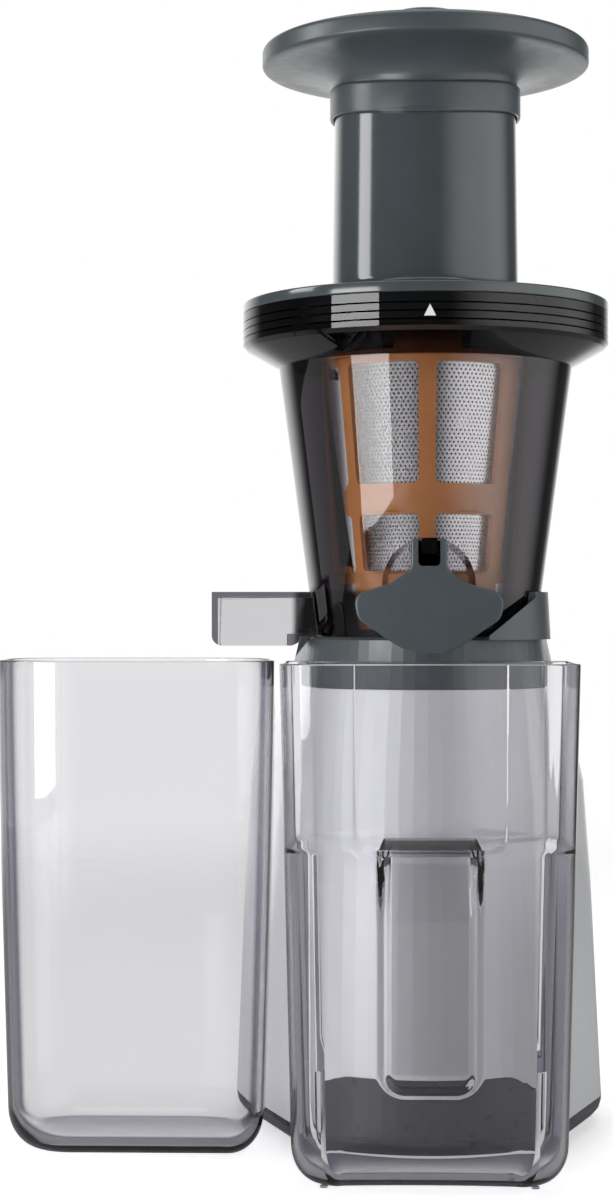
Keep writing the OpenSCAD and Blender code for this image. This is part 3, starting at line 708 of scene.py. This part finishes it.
def pulp_container():
    low, high = extent("pulp_container")
    top = high.z
    corner_r = 15
    nest_r = 60.6
    grip_back = low.y + 12.2
    across = pulp_columns()

    def taper(z):
        return 4.0 * (top - z) / (top - 10)

    def ring(z, shrink, lean, inside):
        """shrink: how far the ring lies inside the rim's outline. lean: how far the front leans back."""
        half = high.x - shrink + 0.9 * ramp(z, 120.5, 123) * (inside > 1)
        face = low.y + shrink + lean
        rear = high.y - (shrink - lean * 0.9)
        radius = max(corner_r - shrink * 0.45, 5)
        points = []
        for x in across:
            spot = x * (half - radius) / across[-1] if abs(x) > 30 else x
            bow = 2.2 * (1 - (spot / half) ** 2) * (1 - 0.6 * z / top)
            points.append(pulp_front_point(x, spot, z, face, bow, top, grip_back, inside))
        right = pulp_side(face, rear, half, radius)
        cup_r = nest_r - 1.3 * ramp(z, 121.5, 123.5) + inside
        left = [(-x, y) for x, y in reversed(right)]
        points.extend(at(x, y, z) for x, y in right + pulp_nest(cup_r, rear, half) + left)
        return points

    rings = [ring(*level) for level in pulp_levels(top, taper)]
    loft("pulp_container_moulding", rings, "pulp_container")


# ---- the strainer drum: a steel cone and an amber frame ----
WINDOW_COLUMNS = 6
WINDOW_ROWS = ((233.1, 10.7), (278.0, 22.6))  # the middle and the half height of each row of windows


def strainer():
    """The drum's steel cone: hexagonal cells, each with a six-sided hole where a window shows it."""
    low, high = extent("strainer_mesh")
    columns = 114
    row_h = 1.5
    rows = int((high.z - low.z) / row_h)
    first_row = low.z + 0.9
    top_r = high.x
    lean = 9.5 / 92
    sheet_t = 0.5
    hole = 0.44
    window_half = 25.5
    points = []
    index = {}
    faces = []

    def vertex(column, row, deep, key):
        if key in index:
            return index[key]
        angle = 2 * math.pi * column / columns
        z = first_row + row * row_h
        radius = top_r - (high.z - z) * lean - deep
        index[key] = len(points)
        points.append(at(radius * math.cos(angle), radius * math.sin(angle), z))
        return index[key]

    def holed(column, z):
        pitch = 360 / WINDOW_COLUMNS
        turn = math.degrees(2 * math.pi * column / columns) % pitch
        beside = min(turn, pitch - turn)
        return beside < window_half and any(abs(z - mid) < half + 1 for mid, half in WINDOW_ROWS)

    spots = [(0, 2), (-1.5, 1), (-1.5, -1), (0, -2), (1.5, -1), (1.5, 1)]
    for row in range(rows):
        for k in range(columns):
            column = k + 0.5 * (row % 2)
            z = first_row + row * row_h
            rim = {}
            for deep in (0, sheet_t):
                rim[deep] = []
                for dx, dz in spots:
                    u, v = column + dx / 3, row + dz / 3
                    key = (round(u * 6) % (columns * 6), round(v * 6), deep)
                    rim[deep].append(vertex(u, v, deep, key))
            if not holed(column, z):
                faces.append(rim[0])
                faces.append(rim[sheet_t][::-1])
                continue
            ring = {}
            for deep in (0, sheet_t):
                ring[deep] = []
                for i, (dx, dz) in enumerate(spots):
                    u, v = column + dx / 3 * hole, row + dz / 3 * hole
                    ring[deep].append(vertex(u, v, deep, (k, row, i, deep)))
            for i in range(6):
                j = (i + 1) % 6
                faces.append([rim[0][i], rim[0][j], ring[0][j], ring[0][i]])
                faces.append([rim[sheet_t][j], rim[sheet_t][i], ring[sheet_t][i], ring[sheet_t][j]])
                faces.append([ring[0][i], ring[0][j], ring[sheet_t][j], ring[sheet_t][i]])
    piece("strainer_sheet", points, faces, "strainer_mesh")


MM_PER_DEGREE = 0.6


def window_loop(u_mid, v_mid, half_u, half_v, corner):
    """The outline of a rounded window on an unrolled sheet."""
    corners = [(-half_u, -half_v), (half_u, -half_v), (half_u, half_v), (-half_u, half_v)]
    flat = fillet([(u * MM_PER_DEGREE, v, corner) for u, v in corners], step=15)
    return [Vector((u_mid + p.x / MM_PER_DEGREE, v_mid + p.y)) for p in without_repeats(flat)]


def in_window(u, v, window):
    u_mid, v_mid, half_u, half_v, corner = window
    if abs(u - u_mid) >= half_u or abs(v - v_mid) >= half_v:
        return False
    x = (abs(u - u_mid) - half_u) * MM_PER_DEGREE + corner
    y = abs(v - v_mid) - half_v + corner
    return x <= 0 or y <= 0 or math.hypot(x, y) < corner


def unrolled_sheet(name, u_end, v_low, v_high, windows, shell, node, u_step=2.5):
    """A curved sheet round the axis with rounded windows. u is an angle in degrees, and v a height.

    A window is (u middle, v middle, half width, half height, corner).
    shell(u, v, deep) gives a point of the outer or the inner skin.
    """
    flat_points = []
    edges = []
    for window in windows:
        loop = window_loop(*window)
        first = len(flat_points)
        flat_points.extend(loop)
        edges.extend((first + k, first + (k + 1) % len(loop)) for k in range(len(loop)))
    levels = [lerp(v_low, v_high, i / 24) for i in range(25)]
    for i in range(round(u_end / u_step) + 1):
        flat_points.extend(Vector((i * u_step, v)) for v in levels)
    result = geometry.delaunay_2d_cdt(flat_points, edges, [], 0, 1e-5)
    spots, triangles = result[0], result[2]
    points = []
    index = {}

    def corner_of(i, deep):
        key = (round(spots[i].x % 360, 3), round(spots[i].y, 4), deep)
        if key not in index:
            index[key] = len(points)
            points.append(shell(spots[i].x, spots[i].y, deep))
        return index[key]

    faces = []
    used = {}
    for triangle in triangles:
        u = sum(spots[i].x for i in triangle) / 3
        v = sum(spots[i].y for i in triangle) / 3
        if any(in_window(u, v, window) for window in windows):
            continue
        outer = [corner_of(i, 0) for i in triangle]
        inner = [corner_of(i, 1) for i in triangle]
        faces.append(outer)
        faces.append(inner[::-1])
        for k in range(3):
            a, b = outer[k], outer[(k + 1) % 3]
            side = [a, b, inner[(k + 1) % 3], inner[k]]
            used.setdefault((min(a, b), max(a, b)), []).append(side)
    faces.extend(sides[0] for sides in used.values() if len(sides) == 1)
    piece(name, points, faces, node)


def drum_radius(z):
    """The drum's outer radius at a height, between its foot and its flange."""
    foot_r, top_r = 27, 36.5
    foot_z, wall_high = 200.5, 102.5
    return lerp(foot_r, top_r, (z - foot_z) / wall_high)


def drum_frame():
    """The amber strainer frame: a tapered wall with windows, a flange, an upstand and two guide bars."""
    low, high = extent("drum_frame")
    flange_r = high.x
    window_half = 24.5
    window_corner = 2.6
    windows = []
    for k in range(WINDOW_COLUMNS):
        middle = (270 + (k + 0.5) * 360 / WINDOW_COLUMNS) % 360
        for height, half_height in WINDOW_ROWS:
            windows.append((middle, height, window_half, half_height, window_corner))

    def wall(u, v, deep):
        angle = math.radians(u)
        radius = drum_radius(v) - 2.0 * deep
        return at(radius * math.cos(angle), radius * math.sin(angle), v)

    unrolled_sheet("drum_wall", 360, low.z, 303.2, windows, wall, "drum_frame")
    lathe("drum_flange", fillet([
        (34.4, 303, 0.3), (36.6, 303, 0.6), (flange_r, 303, 0.5), (flange_r, 307, 1.0), (34.4, 307, 0.5),
    ]), "drum_frame")

    def upstand(u, v, deep):
        angle = math.radians(252 + u)
        radius = flange_r - 2.2 * deep
        return at(radius * math.cos(angle), radius * math.sin(angle), v)

    unrolled_sheet("drum_upstand", 36, 306.6, high.z, [], upstand, "drum_frame", u_step=2)
    foot_r = drum_radius(218)
    for word, side in (("left", -1), ("right", 1)):
        outline = fillet([
            (side * (foot_r - 1), 221.5, 0.2), (side * (foot_r + 6.6), 221.5, 0.8),
            (side * (flange_r - 0.4), 303.4, 0.5), (side * (flange_r - 3.2), 303.4, 0.5),
            (side * (foot_r + 4.0), 225, 1.2), (side * (foot_r - 1), 225, 0.2),
        ])
        if side < 0:
            outline = outline[::-1]
        plate(f"drum_guide_{word}", without_repeats(outline), 1.3, -1.3, 0.5, "drum_frame")


# ---- lid and pusher ----
def lid():
    low, high = extent("lid")
    rim = high.x
    tube = 35
    under = extent("bowl_shell")[1].z + 0.3
    lathe("lid_moulding", fillet([
        (33, low.z, 0.3), (35.2, low.z, 0.3), (35.2, under, 0.3), (65.2, under, 0.3),
        (65.2, 312.5, 0.3), (67.4, 312.5, 0.3), (67.4, under, 0.3),
        (rim, under, 0.5), (rim, under + 4, 0.9), (tube + 9, under + 6, 6),
        (tube + 1, under + 8.6, 4), (tube, high.z, 0.5), (tube - 2.4, high.z, 0.5),
    ]), "lid", steps=192)


def pusher():
    """The pusher's cap: a broad disc with an upright edge, a flared neck, and a low dome on top."""
    low, high = extent("pusher_cap")
    tube = 35
    disc = high.x
    under = high.z - 21.5
    hang = 4.2
    flare = []
    for i in range(1, 13):
        turn = math.pi / 2 * i / 12
        r = lerp(tube + 0.4, disc - 1.6, 1 - math.cos(turn))
        flare.append((r, lerp(under - 6.4, under + 0.3, math.sin(turn)), 0))
    dome = []
    for i in range(9):
        turn = math.pi / 2 * i / 8
        r = lerp(30, 13.6, math.sin(turn))
        dome.append((r, lerp(under + 9.2, high.z - 0.6, 1 - math.cos(turn)), 0))
    profile = [
        (tube + 0.5, low.z, 0.2), (tube + 1.8, low.z, 0.5),
        (tube + 1.8, under - 8.2, 1.0), (tube + 0.4, under - 7.4, 0.4),
    ] + flare + [
        (disc, under + 0.8, 1.3), (disc, under + 8.0, 2.4), (disc - 8, under + 8.8, 6),
    ] + dome + [
        (13, high.z, 0.5), (0, high.z, 0), (0, 407, 0),
        (tube - 3.1, 407, 0.2), (tube - 3.1, 401.05, 0.2), (tube + 0.5, 401.05, 0.2),
    ]

    def wave(r, z, angle):
        """The neck band hangs lower in front and behind. What stands on the tube's mouth isn't moved."""
        if r < tube + 0.3 or (r < tube + 0.7 and 400.8 < z < 406):
            return r, z
        part = (1 - ramp(z, under - 6.6, under + 0.2)) * (0.5 - 0.5 * math.cos(2 * angle))
        return r, z - hang * part

    lathe("pusher_disc_moulding", fillet(profile), "pusher_cap", steps=192, warp=wave)


# ---- flat pieces with a rounded front edge ----
def inset(outline, distance):
    """The outline moved inwards by that distance. It runs anticlockwise."""
    moved = []
    count = len(outline)
    for k in range(count):
        along = outline[(k + 1) % count] - outline[k - 1]
        moved.append(outline[k] + Vector((-along.y, along.x)).normalized() * distance)
    return moved


def plate(name, outline, back, front, edge, node):
    """An upright plate with its face at y = front, from an (x, z) outline, with a rounded front edge."""
    levels = [(back, 0.3), (back - 0.3, 0)]
    for i in range(7):
        turn = math.pi / 2 * i / 6
        levels.append((front + edge * (1 - math.sin(turn)), edge * (1 - math.cos(turn))))
    rings = []
    for y, distance in levels:
        rings.append([at(p.x, y, p.y) for p in inset(outline, distance)])
    size = len(outline)
    points = [p for ring in rings for p in ring]
    faces = [list(range(size)), list(range(len(points) - size, len(points)))]
    faces.extend(bridged(len(rings), size))
    piece(name, points, faces, node)


def without_repeats(outline):
    kept = []
    for p in outline:
        if not kept or (p - kept[-1]).length > 0.02:
            kept.append(p)
    return kept


def pulp_cover():
    """The flap over the pulp outlet: two wings, and a tab with a slot for its hinge post."""
    low, high = extent("pulp_cover")
    wing = high.x
    right = [
        (3.1, 224.4, 0.8), (3.1, high.z, 0.8), (6.6, high.z, 1.4), (6.6, 222.2, 4.5), (14, 217.2, 12),
        (wing + 0.9, 213.2, 6.5), (wing - 0.6, 204.4, 5.5), (11, 194.2, 12), (5, low.z, 5),
    ]
    left = [(-x, z, r) for x, z, r in reversed(right)]
    outline = without_repeats(fillet(list(reversed(left + right)), step=7))
    plate("pulp_cover_flap", outline, low.y + 3.4, low.y, 0.9, "pulp_cover")


# ---- copies of CAD pieces with rounded edges ----
def softened(name, node, width, angle=30):
    """A piece with a CAD node's own shape, whose edges sharper than angle are rounded to a width."""
    source = NODES[node]
    shape = bmesh.new()
    shape.from_mesh(source.data)
    shape.transform(source.matrix_world)
    bmesh.ops.remove_doubles(shape, verts=shape.verts, dist=0.002 * MM)
    bmesh.ops.dissolve_limit(shape, angle_limit=math.radians(0.5), verts=shape.verts, edges=shape.edges)
    edges = [e for e in shape.edges if e.is_manifold and e.calc_face_angle(0) > math.radians(angle)]
    bmesh.ops.bevel(
        shape, geom=edges, offset=width * MM, segments=3, profile=0.5, affect="EDGES",
        clamp_overlap=True,
    )
    mesh = bpy.data.meshes.new(name)
    shape.to_mesh(mesh)
    shape.free()
    points = [v.co.copy() for v in mesh.vertices]
    faces = [list(face.vertices) for face in mesh.polygons]
    bpy.data.meshes.remove(mesh)
    piece(name, points, faces, node, sharp=40)


# ---- the stage: lamps, world, floor and camera ----
def softbox(name, azimuth, distance, low, high, width, radiance):
    """A soft box that stands round the object: azimuth 0 is in front, and 90 on the right."""
    light = bpy.data.lights.new(name, "AREA")
    light.shape = "RECTANGLE"
    light.size = width
    light.size_y = high - low
    light.energy = radiance * math.pi * width * (high - low)
    lamp = bpy.data.objects.new(name, light)
    bpy.context.scene.collection.objects.link(lamp)
    turn = math.radians(azimuth)
    x = AXIS.x + distance * math.sin(turn)
    y = AXIS.y - distance * math.cos(turn)
    lamp.location = (x, y, (low + high) / 2)
    lamp.rotation_euler = (math.radians(90), 0, turn)
    lamp.visible_camera = False
    lamp.visible_transmission = False
    return lamp


def stage_lights():
    """A bright soft box on the left, a high one for the tube, a faint wide one, and one overhead."""
    softbox("left_key", azimuth=-44, distance=1.1, low=0.02, high=0.47, width=0.6, radiance=7.5)
    softbox("tube_strip", azimuth=-82, distance=1.1, low=0.49, high=1.0, width=0.36, radiance=6)
    softbox("left_fill", azimuth=-98, distance=1.2, low=0.0, high=0.24, width=1.0, radiance=0.5)
    over = softbox("top_box", azimuth=0, distance=0, low=0.8, high=2.0, width=1.2, radiance=1.5)
    over.rotation_euler = (0, 0, 0)


def seen_directly(owner):
    """1 for the camera's rays, even if clear plastic has bent them, 0 for reflections and shade."""
    path = add(owner, "ShaderNodeLightPath")
    unreflected = add(owner, "ShaderNodeMath", operation="LESS_THAN")
    unreflected.inputs[1].default_value = 0.5
    join(owner, path.outputs["Glossy Depth"], unreflected.inputs[0])
    bent = product(owner, path.outputs["Is Transmission Ray"], unreflected.outputs["Value"])
    either = add(owner, "ShaderNodeMath", operation="MAXIMUM")
    join(owner, path.outputs["Is Camera Ray"], either.inputs[0])
    join(owner, bent, either.inputs[1])
    return either.outputs["Value"]


def world_lobe(world, towards, start, end, low, high):
    """Light that grows smoothly from low to high as the direction gets nearer to one way."""
    direction = add(world, "ShaderNodeTexCoord")
    facing = add(world, "ShaderNodeVectorMath", operation="DOT_PRODUCT")
    facing.inputs[1].default_value = towards
    join(world, direction.outputs["Generated"], facing.inputs[0])
    return stepped(world, facing.outputs["Value"], start, end, low, high)


def stage_world():
    """White where seen directly. Gloss and shade see a dim studio, bright behind and on the right."""
    world = bpy.data.worlds.new("studio")
    bpy.context.scene.world = world
    world.use_nodes = True
    background = world.node_tree.nodes["Background"]
    background.inputs["Color"].default_value = (1, 1, 1, 1)
    behind = world_lobe(world, (-0.17, 0.985, 0), start=0.7, end=0.95, low=0.08, high=1.25)
    right = world_lobe(world, (0.95, -0.31, 0), start=0.5, end=0.95, low=0.0, high=1.35)
    both = add(world, "ShaderNodeMath", operation="ADD")
    join(world, behind, both.inputs[0])
    join(world, right, both.inputs[1])
    white = add(world, "ShaderNodeMix")
    white.inputs["B"].default_value = 1.0
    join(world, seen_directly(world), white.inputs["Factor"])
    join(world, both.outputs["Value"], white.inputs["A"])
    join(world, white.outputs["Result"], background.inputs["Strength"])


def stage_floor():
    """A pale disc that glows, fades out at its edge and is darker in reflections."""
    radius = 1.6
    fade_start, fade_end = 0.5, 1.5
    shape = bmesh.new()
    bmesh.ops.create_circle(shape, cap_ends=True, segments=96, radius=radius)
    mesh = bpy.data.meshes.new("floor")
    shape.to_mesh(mesh)
    shape.free()
    floor = bpy.data.objects.new("floor", mesh)
    bpy.context.scene.collection.objects.link(floor)
    floor.location = (AXIS.x, AXIS.y, -0.0002)
    material = principled("pale_floor", {"Roughness": 0.6})
    shader = shader_of(material)
    path = add(material, "ShaderNodeLightPath")
    tone = add(material, "ShaderNodeMix", data_type="RGBA")
    tone.inputs[6].default_value = (0.93, 0.93, 0.93, 1)
    tone.inputs[7].default_value = (0.45, 0.45, 0.45, 1)
    join(material, path.outputs["Is Glossy Ray"], tone.inputs["Factor"])
    join(material, tone.outputs[2], shader.inputs["Base Color"])
    shader.inputs["Emission Color"].default_value = (1, 1, 1, 1)
    glow = add(material, "ShaderNodeMapRange")
    glow.inputs["To Min"].default_value = 0.05
    glow.inputs["To Max"].default_value = 0.5
    join(material, seen_directly(material), glow.inputs["Value"])
    join(material, glow.outputs["Result"], shader.inputs["Emission Strength"])
    length = add(material, "ShaderNodeVectorMath", operation="LENGTH")
    join(material, place_of(material), length.inputs[0])
    fade = stepped(material, length.outputs["Value"], fade_start, fade_end, 1.0, 0.0)
    join(material, fade, shader.inputs["Alpha"])
    mesh.materials.append(material)


def stage_camera():
    """The photograph's view: level, in front of the bowl and a little to its left."""
    camera = bpy.data.cameras.new("camera")
    sensor_mm = 36
    focal_in_heights = 1.925
    camera.sensor_width = sensor_mm
    camera.lens = sensor_mm * focal_in_heights
    camera.shift_y = 0.0108333
    camera.clip_start = 0.02
    holder = bpy.data.objects.new("camera", camera)
    bpy.context.scene.collection.objects.link(holder)
    holder.location = at(-22.5, -896, 206.5)
    holder.rotation_euler = (math.radians(90), 0, math.radians(1.5))
    bpy.context.scene.camera = holder
    bpy.context.scene.view_settings.view_transform = "Standard"


finish_nodes()
juice_jug()
pulp_container()
strainer()
drum_frame()
lid()
pusher()
pulp_cover()
softened("juice_spout_moulding", "juice_spout", 0.9)
stage_world()
stage_lights()
stage_floor()
stage_camera()
